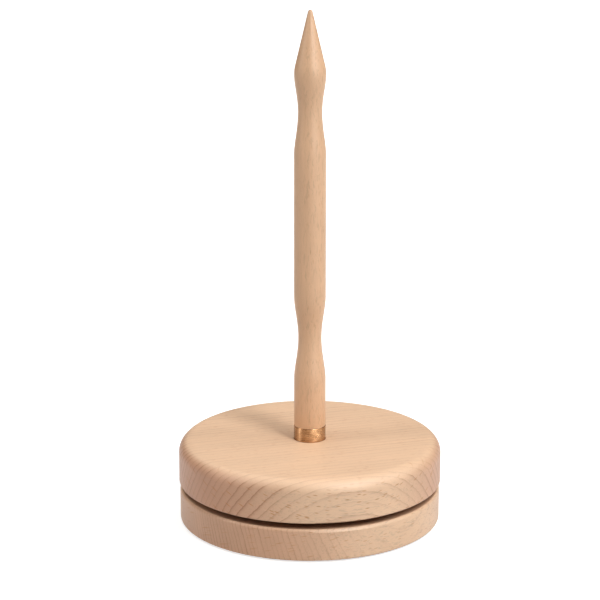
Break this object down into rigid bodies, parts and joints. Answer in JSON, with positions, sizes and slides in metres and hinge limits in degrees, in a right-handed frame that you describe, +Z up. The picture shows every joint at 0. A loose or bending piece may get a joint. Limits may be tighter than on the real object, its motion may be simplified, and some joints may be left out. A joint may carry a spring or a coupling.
{
  "type": "yarn dispenser",
  "caption": "Turned spindle with a pointed tip on a round wooden turntable that spins on a ball bearing over a footed base disc.",
  "frame": {"origin": "on the spin axis, at the level of the surface that the rubber feet stand on", "axes": "+Z up along the spindle, which is also the axis that the turntable spins about; X and Y lie level"},
  "size_m": [0.15, 0.15, 0.2929],
  "materials": {
    "beech_disc": "satin, clear oiled beech with its grain across the disc",
    "beech_spindle": "satin, turned beech with its grain along the spindle",
    "brass": "turned and polished",
    "bearing_aluminium": "turned",
    "zinc_plated_steel": "zinc plated",
    "ball_steel": "polished",
    "zinc_alloy": "cast",
    "nylon": "moulded",
    "foot_rubber": "matt"
  },
  "bodies": {
    "lower_assembly": {"base_disc": "beech_disc", "fixed_ring": "bearing_aluminium", "ball_plug": "zinc_plated_steel", "base_screws": "zinc_plated_steel", "base_washers": "zinc_plated_steel", "foot_1": "foot_rubber", "foot_2": "foot_rubber", "foot_3": "foot_rubber", "foot_4": "foot_rubber"},
    "turntable_assembly": {"turntable": "beech_disc", "turning_ring": "bearing_aluminium", "wood_screws": "zinc_plated_steel", "carriage_bolt": "zinc_plated_steel"},
    "spindle_assembly": {"spindle": "beech_spindle", "ferrule": "brass", "threaded_insert": "zinc_alloy"},
    "cage_assembly": {"ball_cage": "nylon", "ball_01": "ball_steel", "ball_02": "ball_steel", "ball_03": "ball_steel", "ball_04": "ball_steel", "ball_05": "ball_steel", "ball_06": "ball_steel", "ball_07": "ball_steel", "ball_08": "ball_steel", "ball_09": "ball_steel", "ball_10": "ball_steel", "ball_11": "ball_steel", "ball_12": "ball_steel", "ball_13": "ball_steel", "ball_14": "ball_steel", "ball_15": "ball_steel", "ball_16": "ball_steel", "ball_17": "ball_steel", "ball_18": "ball_steel", "ball_19": "ball_steel", "ball_20": "ball_steel"}
  },
  "joints": [
    {"name": "turntable_spin", "type": "hinge", "parent": "lower_assembly", "child": "turntable_assembly", "pos_m": [0, 0, 0.019], "axis": [0, 0, 1], "continuous": true},
    {"name": "cage_orbit", "type": "hinge", "parent": "lower_assembly", "child": "cage_assembly", "pos_m": [0, 0, 0.019], "axis": [0, 0, 1], "continuous": true},
    {"name": "spindle_lift", "type": "slide", "parent": "turntable_assembly", "child": "spindle_assembly", "axis": [0, 0, 1], "range_m": [0, 0.017]}
  ],
  "couplings": [
    {"joint": "cage_orbit", "follows": "turntable_spin", "ratio": 0.465}
  ]
}
